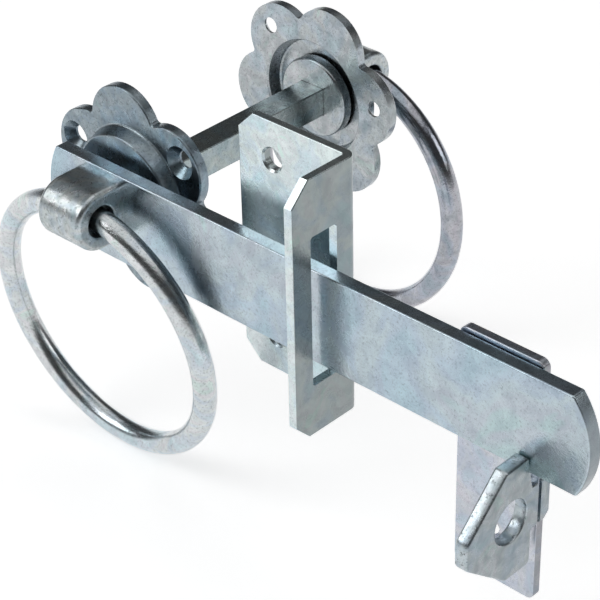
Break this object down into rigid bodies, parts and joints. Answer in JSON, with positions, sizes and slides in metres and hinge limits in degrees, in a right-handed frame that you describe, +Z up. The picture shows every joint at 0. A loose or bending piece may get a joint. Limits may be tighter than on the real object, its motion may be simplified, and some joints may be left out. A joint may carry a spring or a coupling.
{
  "type": "ring gate latch",
  "caption": "Ring-handled gate latch in zinc-plated steel: a ring on each side of the gate turns a spindle that lifts a bar out of a hooked catch with a padlock eye.",
  "frame": {"origin": "on the spindle axis, in the plane of the near rose's back face, which is the gate's front face", "axes": "+X along the latch bar from the spindle to the catch, +Y into the gate along the spindle, +Z up"},
  "size_m": [0.1873, 0.1176, 0.1087],
  "materials": {
    "plated_sheet": "bright zinc plate on pressed sheet, pale and slightly mottled",
    "plated_casting": "bright zinc plate on a cast surface, softly rounded",
    "plated_rod": "bright zinc plate on drawn rod",
    "plated_bar": "bright zinc plate on rolled bar"
  },
  "bodies": {
    "fixings": {"near_rose": "plated_sheet", "far_rose": "plated_sheet", "guide_bracket": "plated_sheet", "catch_plate": "plated_sheet", "catch_hook": "plated_sheet"},
    "latch": {"latch_bar": "plated_bar", "near_hub": "plated_casting", "near_boss": "plated_casting", "spindle": "plated_bar", "far_hub": "plated_casting", "far_boss": "plated_casting"},
    "near_handle": {"near_ring": "plated_rod"},
    "far_handle": {"far_ring": "plated_rod"}
  },
  "joints": [
    {"name": "latch_turn", "type": "hinge", "parent": "fixings", "child": "latch", "pos_m": [0, 0, 0], "axis": [0, -1, 0], "range_deg": [0, 7.9]},
    {"name": "near_ring_swing", "type": "hinge", "parent": "latch", "child": "near_handle", "pos_m": [0, -0.0204, 0.0018], "axis": [-1, 0, 0], "range_deg": [-5, 200]},
    {"name": "far_ring_swing", "type": "hinge", "parent": "latch", "child": "far_handle", "pos_m": [0, 0.0778, 0.0018], "axis": [1, 0, 0], "range_deg": [-8.5, 189]}
  ]
}
